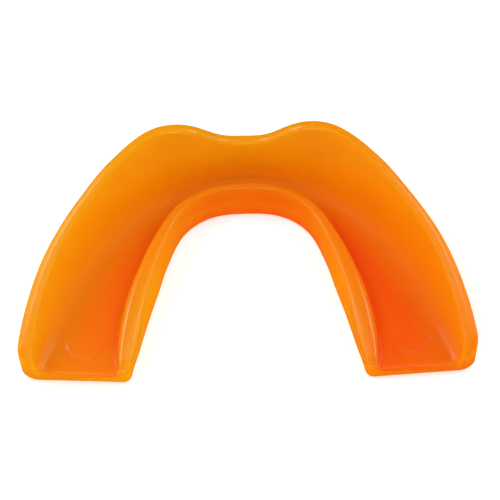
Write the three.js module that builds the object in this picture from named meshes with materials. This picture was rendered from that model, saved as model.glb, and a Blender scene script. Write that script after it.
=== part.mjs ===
// One-piece mouthguard: a U-shaped tray for the upper teeth, moulded in EVA rubber.
// A low wall stands on the tongue side, the teeth bite on a flat floor, and a taller flange leans
// outward between the teeth and the lips. Between the wall and the flange is the tooth trough.
//
// Millimetres. +X runs across the mouth, +Y towards the front teeth, +Z from the floor into the trough.

import * as THREE from "three";

// The cross-section changes along the arch. Each list below has one value per station, from the
// midline between the front teeth (0 degrees) to the end of a leg (90 degrees), for both sides.
const STATION_ANGLE = [0, 12, 22, 34, 46, 60, 75, 90];

// Radii are measured from the arch's centre, heights from the underside.
const SECTION = {
  tongueFootRadius: [24.1, 24.0, 22.7, 19.5, 17.0, 15.6, 15.2, 15.8],
  tongueSetback: [1.5, 1.4, 1.1, 0.8, 0.8, 0.6, 0.3, 0.15],
  crestRadius: [26.4, 26.1, 25.1, 22.5, 20.3, 18.8, 17.9, 17.3],
  crestHeight: [5.3, 5.3, 5.3, 5.3, 5.4, 5.1, 4.2, 3.2],
  floorRadius: [29.3, 29.0, 28.4, 27.6, 27.0, 26.3, 26.4, 28.8],
  floorFillet: [2.2, 2.2, 2.4, 2.8, 3.2, 3.4, 3.2, 2.4],
  rimRadius: [33.2, 33.2, 34.0, 32.7, 31.4, 30.8, 30.6, 31.0],
  rimHeight: [13.0, 13.0, 12.9, 12.3, 11.3, 10.0, 8.4, 6.4],
  rimWidth: [1.7, 1.7, 1.7, 1.7, 1.7, 1.7, 1.8, 2.0],
  cheekFootRadius: [31.3, 31.0, 30.4, 29.6, 29.0, 28.6, 29.2, 31.1],
};

const FLOOR_THICKNESS = 2.5;
const TROUGH_DRAFT = 0.2; // the wall's trough side leans inward by this much over its height

// The tongue-side face stands upright up to a soft shoulder and then leans outward to the crest,
// set back by tongueSetback in all.
const SHOULDER_SETBACK_SHARE = 0.2;
const SHOULDER_HEIGHT_SHARE = 0.6;
const SHOULDER_ROUND = 4;

const TONGUE_FOOT_ROUND = 0.6;
const WALL_FOOT_FILLET = 0.6;
const CHEEK_FOOT_ROUND = 1.3;
const CREST_ROUND_MAX = 1.0;
const RIM_FALL = 0.4; // the rim's top slopes down towards the cheek side by this much
const EDGE_SHARE = 0.45; // share of a wall's thickness taken by the rounding of each top corner
const ARC_SHARE_MAX = 0.48; // share of an edge that one corner's arc may take up
const ROUND_MIN = 0.15;

// Notch in the rim for the lip's frenum, at the midline.
const NOTCH_DEPTH = 3.9;
const NOTCH_HALF_ANGLE = 10.7;
const NOTCH_POWER = 3;

// Rear end of each leg.
const LEG_RADIUS = 24; // middle of the floor, where distances along the leg are measured
const LEG_TAIL = 0.8; // straight stretch behind the 90 degree station
const END_ROUND = 0.6; // rounding round the end face
const CORNER_ROUND = 2.2; // larger rounding of the flange's rear corner
const TONGUE_CORNER_ROUND = 1.2; // and of the tongue-side wall's rear corner

// Shares of the rear corner's swing by which the crest and the rim drop, and the flange's sides move in.
const CREST_DROP_SHARE = 0.5;
const RIM_DROP_SHARE = 0.8;
const RIM_SWING_SHARE = 0.8;
const INNER_SWING_SHARE = 0.35;

// The end face is a little oblique: the leg reaches further on the tongue side than on the cheek side.
const END_SPLAY = 0.7;
const SPLAY_FROM_ANGLE = 50;
const TONGUE_SIDE_RADIUS = 16;
const CHEEK_SIDE_RADIUS = 28.5;

// Fineness of the mesh.
const STEPS_PER_ROUND = 3;
const STEPS_PER_END = 6;
const STEPS_PER_SIDE = 22;

const EVA_ORANGE = 0xf47a12;

// Smooth curve through one list of SECTION, even about the midline.
function along(values, angle) {
  const last = STATION_ANGLE.length - 1;
  const angleAt = (i) => {
    if (i < 0) return -STATION_ANGLE[-i];
    return i > last ? 2 * STATION_ANGLE[last] - STATION_ANGLE[2 * last - i] : STATION_ANGLE[i];
  };
  const valueAt = (i) => {
    if (i < 0) return values[-i];
    return i > last ? 2 * values[last] - values[2 * last - i] : values[i];
  };
  const slopeAt = (i) => (valueAt(i + 1) - valueAt(i - 1)) / (angleAt(i + 1) - angleAt(i - 1));
  const next = STATION_ANGLE.findIndex((station, i) => i > 0 && angle <= station);
  const start = next - 1;
  const span = angleAt(next) - angleAt(start);
  const t = (angle - angleAt(start)) / span;
  return (
    valueAt(start) * (2 * t ** 3 - 3 * t ** 2 + 1) +
    valueAt(next) * (3 * t ** 2 - 2 * t ** 3) +
    slopeAt(start) * span * (t ** 3 - 2 * t ** 2 + t) +
    slopeAt(next) * span * (t ** 3 - t ** 2)
  );
}

// How far an edge of this rounding has drawn in, at a distance in front of the leg's end face.
function drawnIn(rounding, gap) {
  const depth = Math.max(rounding - gap, 0);
  return rounding - Math.sqrt(rounding ** 2 - depth ** 2);
}

// Corners of the cross-section, clockwise from the tongue-side foot: x is the radius, y the height.
function sectionCorners(angle, gap) {
  const at = Object.fromEntries(
    Object.entries(SECTION).map(([name, values]) => [name, along(values, angle)]),
  );
  const notch = NOTCH_DEPTH * Math.exp(-((angle / NOTCH_HALF_ANGLE) ** NOTCH_POWER));
  const lean = (at.rimRadius - at.rimWidth - at.floorRadius) / (at.rimHeight - FLOOR_THICKNESS);
  const rimRadius = at.rimRadius - notch * lean;
  const rimHeight = at.rimHeight - notch;

  // Towards the leg's rear corners the wall swings outward, and the flange swings in and drops.
  const tongueSwing = drawnIn(TONGUE_CORNER_ROUND, gap) - drawnIn(END_ROUND, gap);
  const swing = drawnIn(CORNER_ROUND, gap) - drawnIn(END_ROUND, gap);
  const innerSwing = INNER_SWING_SHARE * swing;
  const crestTop = at.crestHeight - CREST_DROP_SHARE * swing;
  const rimTop = rimHeight - RIM_DROP_SHARE * swing;
  const foot = at.tongueFootRadius + tongueSwing;
  const crestEdge = foot + at.tongueSetback;
  const crestRadius = at.crestRadius + tongueSwing;
  const crestRound = Math.min(EDGE_SHARE * (crestRadius - crestEdge), CREST_ROUND_MAX);
  const rimRound = EDGE_SHARE * at.rimWidth;
  const shoulder = {
    x: foot + SHOULDER_SETBACK_SHARE * at.tongueSetback,
    y: SHOULDER_HEIGHT_SHARE * crestTop,
    round: SHOULDER_ROUND,
  };
  return [
    { x: foot, y: 0, round: TONGUE_FOOT_ROUND },
    shoulder,
    { x: crestEdge, y: crestTop, round: crestRound },
    { x: crestRadius, y: crestTop, round: crestRound },
    { x: crestRadius + TROUGH_DRAFT, y: FLOOR_THICKNESS, round: WALL_FOOT_FILLET },
    { x: at.floorRadius - innerSwing, y: FLOOR_THICKNESS, round: at.floorFillet },
    { x: rimRadius - at.rimWidth - innerSwing, y: rimTop, round: rimRound },
    { x: rimRadius - RIM_SWING_SHARE * swing, y: rimTop - RIM_FALL, round: rimRound },
    { x: at.cheekFootRadius - swing, y: 0, round: CHEEK_FOOT_ROUND },
  ];
}

// The corner between two edges, each moved inward by a distance; the outline runs clockwise.
function insetCorner(before, corner, after, distance) {
  const a = new THREE.Vector2(corner.x - before.x, corner.y - before.y).normalize();
  const b = new THREE.Vector2(after.x - corner.x, after.y - corner.y).normalize();
  const turn = a.cross(b);
  const shift = distance / (1 + a.dot(b));
  const round = Math.max(corner.round + Math.sign(turn) * distance, ROUND_MIN);
  return {
    x: corner.x + shift * (a.y + b.y),
    y: corner.y - shift * (a.x + b.x),
    round,
  };
}

// Points of one corner's arc; the rounding shrinks where the edges beside it are short.
function roundCorner(before, corner, after) {
  const a = new THREE.Vector2(corner.x - before.x, corner.y - before.y);
  const b = new THREE.Vector2(after.x - corner.x, after.y - corner.y);
  const room = ARC_SHARE_MAX * Math.min(a.length(), b.length());
  a.normalize();
  b.normalize();
  const bend = Math.acos(a.dot(b));
  const tangent = Math.min(corner.round * Math.tan(bend / 2), room);
  const radius = tangent / Math.tan(bend / 2);
  const side = Math.sign(a.cross(b));
  const inward = new THREE.Vector2(-a.y * side, a.x * side);
  const points = [];
  for (let step = 0; step <= STEPS_PER_ROUND; step += 1) {
    const swept = (bend * step) / STEPS_PER_ROUND;
    const ahead = radius * Math.sin(swept) - tangent;
    const aside = radius * (1 - Math.cos(swept));
    points.push({
      x: corner.x + a.x * ahead + inward.x * aside,
      y: corner.y + a.y * ahead + inward.y * aside,
    });
  }
  return points;
}

// Calls make with each corner and its two neighbours.
function eachCorner(corners, make) {
  const count = corners.length;
  return corners.map((corner, i) =>
    make(corners[(i + count - 1) % count], corner, corners[(i + 1) % count]),
  );
}

// The closed outline of the cross-section at a distance in front of the end of one leg.
function ringAt(gap, side) {
  const bent = Math.max(gap - LEG_TAIL, 0);
  const tail = Math.max(LEG_TAIL - gap, 0);
  const angle = Math.max(90 - THREE.MathUtils.radToDeg(bent / LEG_RADIUS), 0);
  const inset = drawnIn(END_ROUND, gap);
  const corners = eachCorner(sectionCorners(angle, gap), (before, corner, after) =>
    insetCorner(before, corner, after, inset),
  );
  const outline = eachCorner(corners, roundCorner).flat();

  const splay = END_SPLAY * THREE.MathUtils.smoothstep(angle, SPLAY_FROM_ANGLE, 90);
  const turned = THREE.MathUtils.degToRad(angle);
  return outline.map((point) => {
    const inward = THREE.MathUtils.inverseLerp(CHEEK_SIDE_RADIUS, TONGUE_SIDE_RADIUS, point.x);
    const x = side * point.x * Math.sin(turned);
    const y = point.x * Math.cos(turned) - tail - splay * inward;
    return new THREE.Vector3(x, y, point.y);
  });
}

// Distances in front of a leg's end, from the end face to just short of the midline.
function legGaps() {
  const whole = LEG_TAIL + (LEG_RADIUS * Math.PI) / 2;
  const gaps = [];
  for (let step = 0; step < STEPS_PER_END; step += 1) {
    gaps.push(CORNER_ROUND * (1 - Math.cos((step / STEPS_PER_END) * (Math.PI / 2))));
  }
  for (let step = 0; step < STEPS_PER_SIDE; step += 1) {
    gaps.push(CORNER_ROUND + ((whole - CORNER_ROUND) * step) / STEPS_PER_SIDE);
  }
  return { gaps, whole };
}

// Skin over all the rings, closed at both ends.
function trayGeometry() {
  const { gaps, whole } = legGaps();
  const left = gaps.map((gap) => ringAt(gap, -1));
  const right = gaps.map((gap) => ringAt(gap, 1)).reverse();
  const rings = [...left, ringAt(whole, 1), ...right];
  const perRing = rings[0].length;
  const index = [];
  for (let ring = 0; ring + 1 < rings.length; ring += 1) {
    for (let i = 0; i < perRing; i += 1) {
      const here = ring * perRing + i;
      const beside = ring * perRing + ((i + 1) % perRing);
      index.push(here, beside + perRing, beside);
      index.push(here, here + perRing, beside + perRing);
    }
  }

  // Each end face is flat, so its outline is triangulated as it is seen from behind.
  const lastRing = (rings.length - 1) * perRing;
  const faces = (ring) =>
    THREE.ShapeUtils.triangulateShape(
      ring.map((point) => new THREE.Vector2(point.x, point.z)),
      [],
    );
  for (const [a, b, c] of faces(rings[0])) index.push(a, b, c);
  for (const [a, b, c] of faces(rings.at(-1))) index.push(lastRing + a, lastRing + b, lastRing + c);

  const geometry = new THREE.BufferGeometry().setFromPoints(rings.flat());
  geometry.setIndex(index);
  geometry.computeBoundingBox();
  const middle = geometry.boundingBox.getCenter(new THREE.Vector3());
  geometry.translate(-middle.x, -middle.y, 0);
  geometry.computeVertexNormals();
  return geometry;
}

const material = new THREE.MeshStandardMaterial({ color: EVA_ORANGE, roughness: 0.3, metalness: 0 });
const tray = new THREE.Mesh(trayGeometry(), material);
tray.name = "mouthguard_tray";

const mouthguard = new THREE.Group();
mouthguard.add(tray);

export default mouthguard;
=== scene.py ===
import math

import bpy
import numpy as np
from mathutils import Matrix, Vector, noise


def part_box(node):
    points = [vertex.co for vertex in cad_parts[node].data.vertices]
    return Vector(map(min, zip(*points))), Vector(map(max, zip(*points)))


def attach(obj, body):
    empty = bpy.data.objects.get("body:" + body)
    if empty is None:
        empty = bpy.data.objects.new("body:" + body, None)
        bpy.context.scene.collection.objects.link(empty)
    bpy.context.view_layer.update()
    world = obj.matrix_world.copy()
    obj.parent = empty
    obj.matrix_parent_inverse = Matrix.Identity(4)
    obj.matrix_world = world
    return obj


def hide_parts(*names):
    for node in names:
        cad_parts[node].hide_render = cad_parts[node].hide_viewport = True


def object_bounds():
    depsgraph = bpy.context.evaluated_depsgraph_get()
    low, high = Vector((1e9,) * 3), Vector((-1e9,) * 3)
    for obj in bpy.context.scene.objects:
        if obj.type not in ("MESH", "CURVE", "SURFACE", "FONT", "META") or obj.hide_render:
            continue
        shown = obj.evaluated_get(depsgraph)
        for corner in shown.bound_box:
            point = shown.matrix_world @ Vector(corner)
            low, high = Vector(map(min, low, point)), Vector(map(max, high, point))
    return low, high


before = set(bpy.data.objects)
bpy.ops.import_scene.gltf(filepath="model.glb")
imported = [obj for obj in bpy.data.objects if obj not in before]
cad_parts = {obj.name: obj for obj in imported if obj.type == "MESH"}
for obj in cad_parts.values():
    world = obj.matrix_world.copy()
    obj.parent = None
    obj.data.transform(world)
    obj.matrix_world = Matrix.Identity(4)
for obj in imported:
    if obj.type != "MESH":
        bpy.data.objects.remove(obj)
CAD_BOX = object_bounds()
MM = 0.001

# ---------------------------------------------------------------------------------------------------
# Shape of the tray, in millimetres. One value per station, from the midline to the end of a leg.
# ---------------------------------------------------------------------------------------------------
STATION_ANGLE = [0, 12, 22, 34, 46, 60, 75, 90]
SECTION = {
    "tongue_foot_radius": [24.1, 24.0, 22.7, 19.5, 17.0, 15.6, 15.2, 15.8],
    "tongue_setback": [1.5, 1.4, 1.1, 0.8, 0.8, 0.6, 0.3, 0.15],
    "crest_radius": [26.4, 26.1, 25.1, 22.5, 20.3, 18.8, 17.9, 17.3],
    "crest_height": [5.3, 5.3, 5.3, 5.3, 5.4, 5.1, 4.2, 3.2],
    "floor_radius": [29.3, 29.0, 28.4, 27.6, 27.0, 26.3, 26.4, 28.8],
    "floor_fillet": [2.2, 2.2, 2.4, 2.8, 3.2, 3.4, 3.2, 2.4],
    "rim_radius": [33.2, 33.2, 34.0, 32.7, 31.4, 30.8, 30.6, 31.0],
    "rim_height": [13.0, 13.0, 12.9, 12.3, 11.3, 10.0, 8.4, 6.4],
    "rim_width": [1.7, 1.7, 1.7, 1.7, 1.7, 1.7, 1.8, 2.0],
    "cheek_foot_radius": [31.3, 31.0, 30.4, 29.6, 29.0, 28.6, 29.2, 31.1],
}
FLOOR_THICKNESS = 2.5
SHOULDER_SETBACK_SHARE = 0.2
SHOULDER_HEIGHT_SHARE = 0.6
SHOULDER_ROUND = 4.0
TROUGH_DRAFT = 0.2
TONGUE_FOOT_ROUND = 0.6
WALL_FOOT_FILLET = 0.6
CHEEK_FOOT_ROUND = 1.3
CREST_ROUND_MAX = 1.0
RIM_FALL = 0.4
EDGE_SHARE = 0.45
ARC_SHARE_MAX = 0.48
ROUND_MIN = 0.15

NOTCH_DEPTH = 3.9
NOTCH_HALF_ANGLE = 10.7
NOTCH_POWER = 3

LEG_RADIUS = 24
LEG_TAIL = 0.8
END_ROUND = 0.6
CORNER_ROUND = 2.2
TONGUE_CORNER_ROUND = 1.2
CREST_DROP_SHARE = 0.5
RIM_DROP_SHARE = 0.8
RIM_SWING_SHARE = 0.8
INNER_SWING_SHARE = 0.35
END_SPLAY = 0.7
SPLAY_FROM_ANGLE = 50
TONGUE_SIDE_RADIUS = 16
CHEEK_SIDE_RADIUS = 28.5

# Marks that the ejector pins of the mould leave on the floor: a low disc near the end of each leg.
PIN_PLACE = (22.1, 3.7)
PIN_RADIUS = 2.75
PIN_STEP = 0.1
PIN_EDGE = 0.3
PIN_EDGE_POLISH = 0.8

# Slight unevenness of the moulded surface: wave length and height.
WAVES = [(7.0, 0.05), (2.2, 0.012)]
WAVES_START = (0.3, 1.5)

# Painted light and shade: where the rubber is painted pale as if lit or lit through (1), or deep as if
# in shade (0), and where the mould left it polished (1) or dull (0). One row per corner of the
# cross-section, clockwise from the tongue-side foot; one value per station. A value above 1 makes the
# polished stretch longer.
SHADE_AND_LIGHT = [
    [0.00, 0.00, 0.05, 0.20, 0.30, 0.30, 0.30, 0.30],
    [0.16, 0.16, 0.25, 0.40, 0.50, 0.50, 0.50, 0.45],
    [0.28, 0.30, 0.40, 0.50, 0.60, 0.65, 0.65, 0.60],
    [0.32, 0.32, 0.38, 0.42, 0.47, 0.50, 0.50, 0.45],
    [0.70, 0.60, 0.38, 0.15, 0.05, 0.03, 0.02, 0.18],
    [0.76, 0.68, 0.56, 0.48, 0.46, 0.44, 0.40, 0.50],
    [0.78, 0.78, 0.78, 0.77, 0.76, 0.75, 0.70, 0.60],
    [0.72, 0.72, 0.72, 0.72, 0.70, 0.68, 0.62, 0.50],
    [0.30, 0.30, 0.30, 0.30, 0.30, 0.30, 0.30, 0.30],
]
# Painted light: the left side is painted paler, as if more light fell from that side.
PAINTED_LIGHT_FROM_LEFT = 0.16
POLISH = [
    [0.6, 0.6, 0.4, 0.2, 0.1, 0.1, 0.2, 0.2],
    [0.6, 0.6, 0.4, 0.2, 0.1, 0.1, 0.2, 0.2],
    [0.7, 0.7, 0.5, 0.3, 0.3, 0.6, 1.6, 0.5],
    [0.7, 0.7, 0.5, 0.3, 0.3, 0.7, 1.6, 0.5],
    [0.0, 0.0, 0.0, 0.0, 0.0, 0.0, 0.0, 0.7],
    [0.3, 0.35, 0.4, 0.3, 0.0, 0.0, 0.0, 0.4],
    [0.7, 0.8, 1.0, 1.0, 1.0, 1.0, 0.8, 0.4],
    [0.8, 0.8, 0.8, 0.7, 0.5, 0.3, 0.3, 0.3],
    [0.8, 0.8, 0.8, 0.8, 0.8, 0.8, 0.8, 0.6],
]

# Between the wall and the flange these values change mostly along the wide fillet at the flange's foot.
FILLET_CORNER = 5
FILLET_SPREAD = 0.35
FLOOR_EASE = 2.5

# Fineness of the mesh: steps round a corner, steps along each straight edge, rings along a leg, which
# are closer together from the end up to PIN_ZONE millimetres in front of it.
STEPS_PER_ROUND = 8
STRAIGHT_STEPS = [3, 3, 3, 3, 32, 10, 2, 12, 12]
STEPS_PER_END = 14
PIN_ZONE = 9.0
PIN_ZONE_STEPS = 34
STEPS_PER_SIDE = 60


def along(values, angle):
    """Smooth curve through a list with one value per station, even about the midline."""
    last = len(STATION_ANGLE) - 1

    def mirrored(row, i, sign):
        if i < 0:
            return sign * row[-i]
        return 2 * row[last] - row[2 * last - i] if i > last else row[i]

    def angle_at(i):
        return mirrored(STATION_ANGLE, i, -1)

    def value_at(i):
        return mirrored(values, i, 1)

    def slope_at(i):
        return (value_at(i + 1) - value_at(i - 1)) / (angle_at(i + 1) - angle_at(i - 1))

    start = max(i for i in range(last) if i == 0 or STATION_ANGLE[i] < angle)
    span = angle_at(start + 1) - angle_at(start)
    t = (angle - angle_at(start)) / span
    return (
        value_at(start) * (2 * t**3 - 3 * t**2 + 1)
        + value_at(start + 1) * (3 * t**2 - 2 * t**3)
        + slope_at(start) * span * (t**3 - 2 * t**2 + t)
        + slope_at(start + 1) * span * (t**3 - t**2)
    )


def smoothstep(value, low, high):
    t = min(max((value - low) / (high - low), 0.0), 1.0)
    return t * t * (3 - 2 * t)


def drawn_in(rounding, gap):
    """How far an edge of this rounding has drawn in, at a distance in front of the leg's end face."""
    depth = max(rounding - gap, 0.0)
    return rounding - math.sqrt(rounding**2 - depth**2)


def section_corners(angle, gap):
    """Corners of the cross-section, clockwise from the tongue-side foot: (radius, height, rounding)."""
    at = {name: along(values, angle) for name, values in SECTION.items()}
    notch = NOTCH_DEPTH * math.exp(-((angle / NOTCH_HALF_ANGLE) ** NOTCH_POWER))
    flange_rise = at["rim_height"] - FLOOR_THICKNESS
    lean = (at["rim_radius"] - at["rim_width"] - at["floor_radius"]) / flange_rise
    rim_radius = at["rim_radius"] - notch * lean

    # Towards the leg's rear corners the wall swings outward, and the flange swings in and drops.
    tongue_swing = drawn_in(TONGUE_CORNER_ROUND, gap) - drawn_in(END_ROUND, gap)
    swing = drawn_in(CORNER_ROUND, gap) - drawn_in(END_ROUND, gap)
    foot = at["tongue_foot_radius"] + tongue_swing
    setback = at["tongue_setback"]
    crest_radius = at["crest_radius"] + tongue_swing
    crest_round = min(EDGE_SHARE * (crest_radius - foot - setback), CREST_ROUND_MAX)
    rim_round = EDGE_SHARE * at["rim_width"]
    crest_top = at["crest_height"] - CREST_DROP_SHARE * swing
    rim_top = at["rim_height"] - notch - RIM_DROP_SHARE * swing
    inner_swing = INNER_SWING_SHARE * swing
    return [
        (foot, 0.0, TONGUE_FOOT_ROUND),
        (foot + SHOULDER_SETBACK_SHARE * setback, SHOULDER_HEIGHT_SHARE * crest_top, SHOULDER_ROUND),
        (foot + setback, crest_top, crest_round),
        (crest_radius, crest_top, crest_round),
        (crest_radius + TROUGH_DRAFT, FLOOR_THICKNESS, WALL_FOOT_FILLET),
        (at["floor_radius"] - inner_swing, FLOOR_THICKNESS, at["floor_fillet"]),
        (rim_radius - at["rim_width"] - inner_swing, rim_top, rim_round),
        (rim_radius - RIM_SWING_SHARE * swing, rim_top - RIM_FALL, rim_round),
        (at["cheek_foot_radius"] - swing, 0.0, CHEEK_FOOT_ROUND),
    ]


def each_corner(corners, make):
    """Calls make with each corner and its two neighbours."""
    count = len(corners)
    return [make(corners[i - 1], corners[i], corners[(i + 1) % count]) for i in range(count)]


def edge(start, end):
    """Direction and length of the edge between two corners."""
    vector = Vector((end[0] - start[0], end[1] - start[1]))
    return vector.normalized(), vector.length


def inset_corner(distance):
    """Makes the function that moves a corner inward with the two edges beside it."""

    def make(before, corner, after):
        (a, _), (b, _) = edge(before, corner), edge(corner, after)
        turn = a.x * b.y - a.y * b.x
        shift = distance / (1 + a.dot(b))
        rounding = max(corner[2] + math.copysign(distance, turn), ROUND_MIN)
        return (corner[0] + shift * (a.y + b.y), corner[1] - shift * (a.x + b.x), rounding)

    return make


def round_corner(before, corner, after):
    """Points of one corner's arc; the rounding shrinks where the edges beside it are short."""
    (a, a_length), (b, b_length) = edge(before, corner), edge(corner, after)
    bend = math.acos(max(-1.0, min(1.0, a.dot(b))))
    tangent = min(corner[2] * math.tan(bend / 2), ARC_SHARE_MAX * min(a_length, b_length))
    radius = tangent / math.tan(bend / 2)
    side = math.copysign(1, a.x * b.y - a.y * b.x)
    points = []
    for step in range(STEPS_PER_ROUND + 1):
        swept = bend * step / STEPS_PER_ROUND
        ahead = radius * math.sin(swept) - tangent
        aside = radius * (1 - math.cos(swept)) * side
        points.append((corner[0] + a.x * ahead - a.y * aside, corner[1] + a.y * ahead + a.x * aside))
    return points


def outline(corners):
    """The rounded outline, with extra points along its straight edges."""
    arcs = each_corner(corners, round_corner)
    points = []
    for i, arc in enumerate(arcs):
        points += arc
        start, end = arc[-1], arcs[(i + 1) % len(arcs)][0]
        for step in range(1, STRAIGHT_STEPS[i]):
            t = step / STRAIGHT_STEPS[i]
            points.append((start[0] + (end[0] - start[0]) * t, start[1] + (end[1] - start[1]) * t))
    return points


def turned_at(gap):
    """Angle from the midline, at a distance in front of the end of a leg."""
    return max(math.pi / 2 - max(gap - LEG_TAIL, 0.0) / LEG_RADIUS, 0.0)


def arc_places(corner):
    """Where a corner's arc starts and ends, as places between the corners."""
    spread = FILLET_SPREAD if corner == FILLET_CORNER else 0
    return corner - spread, corner + spread


def outline_places():
    """Each outline point's place between the corners: 2.5 is halfway from corner 2 to corner 3."""
    places = []
    for i, steps in enumerate(STRAIGHT_STEPS):
        (start, end), (after, _) = arc_places(i), arc_places(i + 1)
        ease = FLOOR_EASE if i + 1 == FILLET_CORNER else 1
        places += np.linspace(start, end, STEPS_PER_ROUND + 1).tolist()
        places += [end + (after - end) * (step / steps) ** ease for step in range(1, steps)]
    return places


def between_corners(rows, gap):
    """The values of the painted light and shade, or of POLISH, over one ring's points."""
    values = [along(row, math.degrees(turned_at(gap))) for row in rows]
    return np.interp(outline_places(), range(len(values) + 1), [*values, values[0]])


def ring_painted_light(gap, side):
    """The painted light and shade over one ring's points, painted a little lighter towards the left,
    where more light fell.
    """
    return between_corners(SHADE_AND_LIGHT, gap) - side * math.sin(turned_at(gap)) * PAINTED_LIGHT_FROM_LEFT


def ring_at(gap, side):
    """The closed outline of the cross-section at a distance in front of the end of one leg."""
    tail = max(LEG_TAIL - gap, 0.0)
    turned = turned_at(gap)
    angle = math.degrees(turned)
    corners = each_corner(section_corners(angle, gap), inset_corner(drawn_in(END_ROUND, gap)))
    splay = END_SPLAY * smoothstep(angle, SPLAY_FROM_ANGLE, STATION_ANGLE[-1])
    ring = []
    for radius, height in outline(corners):
        inward = (CHEEK_SIDE_RADIUS - radius) / (CHEEK_SIDE_RADIUS - TONGUE_SIDE_RADIUS)
        y = radius * math.cos(turned) - tail - splay * inward
        ring.append((side * radius * math.sin(turned), y, height))
    return ring


def leg_gaps():
    """Distances in front of a leg's end: close together on the rounded end and the pin mark."""
    whole = LEG_TAIL + LEG_RADIUS * math.pi / 2
    quarter = math.pi / 2
    end = [CORNER_ROUND * (1 - math.cos(quarter * i / STEPS_PER_END)) for i in range(STEPS_PER_END)]
    pin = np.linspace(CORNER_ROUND, PIN_ZONE, PIN_ZONE_STEPS, endpoint=False).tolist()
    rest = np.linspace(PIN_ZONE, whole, STEPS_PER_SIDE + 1).tolist()
    return end + pin + rest


def tray_mesh():
    """The skin over all the rings, closed by a face at each leg's end."""
    gaps = leg_gaps()
    places = [(gap, -1) for gap in gaps] + [(gap, 1) for gap in reversed(gaps[:-1])]
    rings = [ring_at(gap, side) for gap, side in places]
    per_ring = len(rings[0])
    points = np.array(rings).reshape(-1, 3)
    faces = []
    for ring in range(len(rings) - 1):
        for i in range(per_ring):
            here, beside = ring * per_ring + i, ring * per_ring + (i + 1) % per_ring
            faces.append((here, here + per_ring, beside + per_ring, beside))
    faces.append(tuple(range(per_ring)))
    faces.append(tuple(reversed(range(len(points) - per_ring, len(points)))))

    raise_pins(points)
    mesh = bpy.data.meshes.new("mouthguard_visual")
    mesh.from_pydata((points * MM).tolist(), [], faces)
    mesh.update()
    # Stores the painted light and shade per vertex for the material, then the polish.
    surface_values(mesh, "painted_light", np.concatenate([ring_painted_light(gap, side) for gap, side in places]))
    polish = np.concatenate([between_corners(POLISH, gap) for gap, _ in places])
    surface_values(mesh, "polish", np.maximum(polish, PIN_EDGE_POLISH * on_pin_edge(points)))
    return mesh


def surface_values(mesh, name, values):
    """Stores one value per vertex for the material to read."""
    mesh.attributes.new(name, "FLOAT", "POINT").data.foreach_set("value", values.astype(np.float32))


def pin_share(points):
    """How far across a pin's edge each point is, from 0 outside to 1 inside."""
    away = np.hypot(np.abs(points[:, 0]) - PIN_PLACE[0], points[:, 1] - PIN_PLACE[1])
    on_floor = np.abs(points[:, 2] - FLOOR_THICKNESS) < 2 * PIN_STEP
    return np.clip((PIN_RADIUS - away) / PIN_EDGE, 0, 1) * on_floor


def raise_pins(points):
    """Raises the floor's points inside each ejector pin's circle."""
    t = pin_share(points)
    points[:, 2] += PIN_STEP * t * t * (3 - 2 * t)


def on_pin_edge(points):
    """1 halfway up a pin's edge, 0 away from it."""
    t = pin_share(points)
    return 4 * t * (1 - t)


def roughen(mesh):
    """Low waves over the whole surface except the flat underside."""
    for vertex, normal in zip(mesh.vertices, [v.normal.copy() for v in mesh.vertices]):
        lift = sum(height * noise.noise(vertex.co / MM / length) for length, height in WAVES)
        vertex.co += normal * lift * MM * smoothstep(vertex.co.z / MM, *WAVES_START)


def centre_on_frame(mesh):
    """Puts the tray where the frame has it: its box is centred on the CAD tray's, on the same base."""
    low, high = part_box("mouthguard_tray")
    co = np.array([v.co for v in mesh.vertices])
    middle = Vector((co.min(0) + co.max(0)) / 2)
    shift = (low + high) / 2 - middle
    mesh.transform(Matrix.Translation((shift.x, shift.y, low.z - co[:, 2].min())))


# ---------------------------------------------------------------------------------------------------
# Materials
# ---------------------------------------------------------------------------------------------------
SCATTER_RADIUS = (1.0, 0.45, 0.15)
SCATTER_SCALE = 0.003
EVA_IOR = 1.48
SPECULAR_LEVEL = 0.2
# Painted shade and light: a deep orange is painted where shade falls, low in the trough and on the
# ground, and a paler orange where light falls on and shines through the thin upright flange.
SHADED_ORANGE = (0.89, 0.122, 0.0005, 1)
LIT_ORANGE = (0.89, 0.40, 0.002, 1)

# Clouds in the colour and the polish, and the fine grain of the surface: scales per metre, depth in mm.
CLOUD_SHARE = 0.08
CLOUD_SCALE = 90
CLOUD_DETAIL = 3
GRAIN_SCALE = 1800
GRAIN_DETAIL = 4
GRAIN_STRENGTH = 0.12
GRAIN_DEPTH = 0.1

POLISHED_ROUGHNESS = 0.32
DULL_ROUGHNESS = 0.65
SHEEN_VARIATION = 0.08
COAT_WEIGHT = 0.9
COAT_ROUGHNESS = 0.18

# The ground and the card reach this many widths of the tray to each side.
GROUND_SPANS = 20
FLOOR_COLOUR = (0.93, 0.93, 0.93, 1)
FLOOR_ROUGHNESS = 0.9
FLOOR_SPECULAR_LEVEL = 0.1
FLOOR_GLOW = 0.4
CARD_DEPTH = 1.0
CARD_RADIANCE = 0.05
WHITE = (1, 1, 1, 1)


def new_material(name):
    material = bpy.data.materials.new(name)
    material.use_nodes = True
    return material, material.node_tree.nodes, material.node_tree.links


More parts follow.
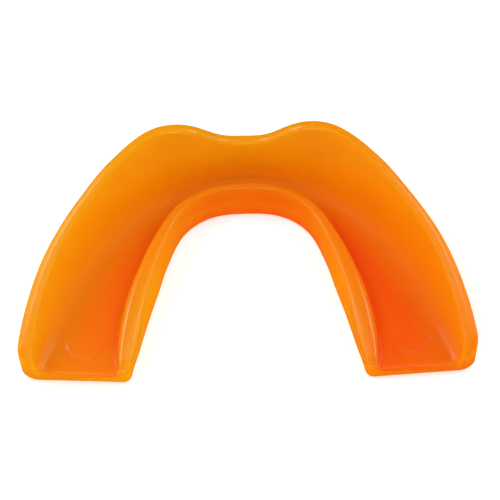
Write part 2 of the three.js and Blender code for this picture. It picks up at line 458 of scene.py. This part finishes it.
def eva_material():
    material, nodes, links = new_material("eva_orange")
    shader = nodes["Principled BSDF"]
    shader.inputs["Subsurface Weight"].default_value = 1.0
    shader.inputs["Subsurface Radius"].default_value = SCATTER_RADIUS
    shader.inputs["Subsurface Scale"].default_value = SCATTER_SCALE
    shader.inputs["IOR"].default_value = EVA_IOR
    shader.inputs["Specular IOR Level"].default_value = SPECULAR_LEVEL
    shader.inputs["Coat Roughness"].default_value = COAT_ROUGHNESS
    place = nodes.new("ShaderNodeTexCoord")

    cloud = nodes.new("ShaderNodeTexNoise")
    cloud.inputs["Scale"].default_value = CLOUD_SCALE
    cloud.inputs["Detail"].default_value = CLOUD_DETAIL
    links.new(place.outputs["Object"], cloud.inputs["Vector"])
    # Painted light and shade: the base colour runs from a shaded deep orange to a lit pale orange, with
    # random clouds added.
    painted_light = nodes.new("ShaderNodeAttribute")
    painted_light.attribute_name = "painted_light"
    clouds_and_painted_light = nodes.new("ShaderNodeMath")
    clouds_and_painted_light.operation = "MULTIPLY_ADD"
    clouds_and_painted_light.inputs[1].default_value = CLOUD_SHARE
    links.new(cloud.outputs["Fac"], clouds_and_painted_light.inputs[0])
    links.new(painted_light.outputs["Fac"], clouds_and_painted_light.inputs[2])
    light_ramp = nodes.new("ShaderNodeValToRGB")
    light_ramp.color_ramp.elements[0].color = SHADED_ORANGE
    light_ramp.color_ramp.elements[1].color = LIT_ORANGE
    links.new(clouds_and_painted_light.outputs["Value"], light_ramp.inputs["Fac"])
    links.new(light_ramp.outputs["Color"], shader.inputs["Base Color"])

    polish = nodes.new("ShaderNodeAttribute")
    polish.attribute_name = "polish"
    coat = nodes.new("ShaderNodeMapRange")
    coat.inputs["To Max"].default_value = COAT_WEIGHT
    links.new(polish.outputs["Fac"], coat.inputs["Value"])
    links.new(coat.outputs["Result"], shader.inputs["Coat Weight"])

    sheen = nodes.new("ShaderNodeMapRange")
    sheen.inputs["To Min"].default_value = DULL_ROUGHNESS
    sheen.inputs["To Max"].default_value = POLISHED_ROUGHNESS
    links.new(polish.outputs["Fac"], sheen.inputs["Value"])
    uneven = nodes.new("ShaderNodeMath")
    uneven.operation = "MULTIPLY_ADD"
    uneven.inputs[1].default_value = SHEEN_VARIATION
    links.new(cloud.outputs["Fac"], uneven.inputs[0])
    links.new(sheen.outputs["Result"], uneven.inputs[2])
    links.new(uneven.outputs["Value"], shader.inputs["Roughness"])

    grain = nodes.new("ShaderNodeTexNoise")
    grain.inputs["Scale"].default_value = GRAIN_SCALE
    grain.inputs["Detail"].default_value = GRAIN_DETAIL
    links.new(place.outputs["Object"], grain.inputs["Vector"])
    bump = nodes.new("ShaderNodeBump")
    bump.inputs["Strength"].default_value = GRAIN_STRENGTH
    bump.inputs["Distance"].default_value = GRAIN_DEPTH * MM
    links.new(grain.outputs["Fac"], bump.inputs["Height"])
    links.new(bump.outputs["Normal"], shader.inputs["Normal"])
    return material


def floor_material():
    material, nodes, _ = new_material("pale_floor")
    shader = nodes["Principled BSDF"]
    shader.inputs["Base Color"].default_value = FLOOR_COLOUR
    shader.inputs["Roughness"].default_value = FLOOR_ROUGHNESS
    shader.inputs["Specular IOR Level"].default_value = FLOOR_SPECULAR_LEVEL
    shader.inputs["Emission Color"].default_value = WHITE
    shader.inputs["Emission Strength"].default_value = FLOOR_GLOW
    return material


# ---------------------------------------------------------------------------------------------------
# Pieces
# ---------------------------------------------------------------------------------------------------
def make_tray():
    mesh = tray_mesh()
    roughen(mesh)
    centre_on_frame(mesh)
    mesh.shade_smooth()
    mesh.materials.append(eva_material())
    tray = bpy.data.objects.new("mouthguard_visual", mesh)
    bpy.context.scene.collection.objects.link(tray)
    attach(tray, "root")
    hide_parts("mouthguard_tray")


def ground_plane(name, depth, material):
    """A wide level square, this far below the tray's base."""
    half = GROUND_SPANS * (CAD_BOX[1].x - CAD_BOX[0].x)
    level = CAD_BOX[0].z - depth
    corners = [(-half, -half, level), (half, -half, level), (half, half, level), (-half, half, level)]
    mesh = bpy.data.meshes.new(name)
    mesh.from_pydata(corners, [], [(0, 1, 2, 3)])
    mesh.materials.append(material)
    plane = bpy.data.objects.new(name, mesh)
    bpy.context.scene.collection.objects.link(plane)
    return plane


def make_floor():
    floor = ground_plane("floor", 0, floor_material())
    floor.visible_glossy = False


def make_card():
    """A dim card under the floor, seen only in reflections: it gives upright faces a faint sheen."""
    material, nodes, links = new_material("dim_card")
    nodes.remove(nodes["Principled BSDF"])
    glow = nodes.new("ShaderNodeEmission")
    glow.inputs["Strength"].default_value = CARD_RADIANCE
    links.new(glow.outputs["Emission"], nodes["Material Output"].inputs["Surface"])
    material.cycles.emission_sampling = "NONE"
    card = ground_plane("card", CARD_DEPTH * MM, material)
    card.visible_camera = False
    card.visible_diffuse = False
    card.visible_shadow = False


# ---------------------------------------------------------------------------------------------------
# Camera and light. Angles in degrees, the aim in millimetres, the lens and its sensor in millimetres,
# other distances in metres.
# ---------------------------------------------------------------------------------------------------
CAMERA_AZIMUTH = 1.34
CAMERA_ELEVATION = 62.0
CAMERA_ROLL = -2.51
CAMERA_DISTANCE = 0.3
CAMERA_LENS = 156.2
CAMERA_AIM = (0.5, 1.6, 3.0)
CAMERA_SENSOR_WIDTH = 36
CAMERA_CLIP = (0.01, 10)

# Each light: the azimuth and elevation it comes from, its distance, width, height and radiance, and
# whether reflections show it.
LIGHTS = {
    "glow_left": (-96, 14, 0.5, 0.4, 0.2, 0.9, True),
    "glow_right": (96, 14, 0.5, 0.4, 0.2, 0.9, True),
    "fill_front": (0, 20, 0.6, 0.6, 0.3, 0.72, False),
    "front_strip": (0, 40, 0.5, 0.3, 0.06, 5.0, True),
    "key_left": (-108, 46, 0.5, 0.34, 0.22, 3.5, True),
    "key_right": (108, 46, 0.5, 0.34, 0.22, 2.8, True),
    "top": (0, 86, 0.5, 0.3, 0.1, 0.7, True),
}
WORLD_STRENGTH = 0.42


def direction(azimuth, elevation):
    """Unit vector towards a place seen at this azimuth and elevation; azimuth 0 is the -Y side."""
    a, e = math.radians(azimuth), math.radians(elevation)
    return Vector((math.sin(a) * math.cos(e), -math.cos(a) * math.cos(e), math.sin(e)))


def make_camera():
    data = bpy.data.cameras.new("camera")
    data.lens = CAMERA_LENS
    data.sensor_width = CAMERA_SENSOR_WIDTH
    data.clip_start, data.clip_end = CAMERA_CLIP
    camera = bpy.data.objects.new("camera", data)
    bpy.context.scene.collection.objects.link(camera)
    back = direction(CAMERA_AZIMUTH, CAMERA_ELEVATION)
    turn = (-back).to_track_quat("-Z", "Y").to_matrix().to_4x4()
    roll = Matrix.Rotation(math.radians(CAMERA_ROLL), 4, "Z")
    place = Matrix.Translation(Vector(CAMERA_AIM) * MM + back * CAMERA_DISTANCE)
    camera.matrix_world = place @ turn @ roll
    bpy.context.scene.camera = camera


def soft_box(name, azimuth, elevation, distance, width, height, radiance, reflected):
    """A rectangular light that faces the tray."""
    data = bpy.data.lights.new(name, "AREA")
    data.shape = "RECTANGLE"
    data.size = width
    data.size_y = height
    data.energy = radiance * math.pi * width * height
    light = bpy.data.objects.new(name, data)
    light.visible_glossy = reflected
    bpy.context.scene.collection.objects.link(light)
    towards = direction(azimuth, elevation)
    light.location = towards * distance
    light.rotation_mode = "QUATERNION"
    light.rotation_quaternion = towards.to_track_quat("Z", "Y")


def make_light():
    for name, values in LIGHTS.items():
        soft_box(name, *values)
    world = bpy.data.worlds.new("studio")
    world.use_nodes = True
    background = world.node_tree.nodes["Background"]
    background.inputs["Color"].default_value = WHITE
    background.inputs["Strength"].default_value = WORLD_STRENGTH
    bpy.context.scene.world = world
    world.cycles_visibility.glossy = False
    bpy.context.scene.view_settings.view_transform = "Standard"


make_camera()
make_light()
make_floor()
make_card()
make_tray()
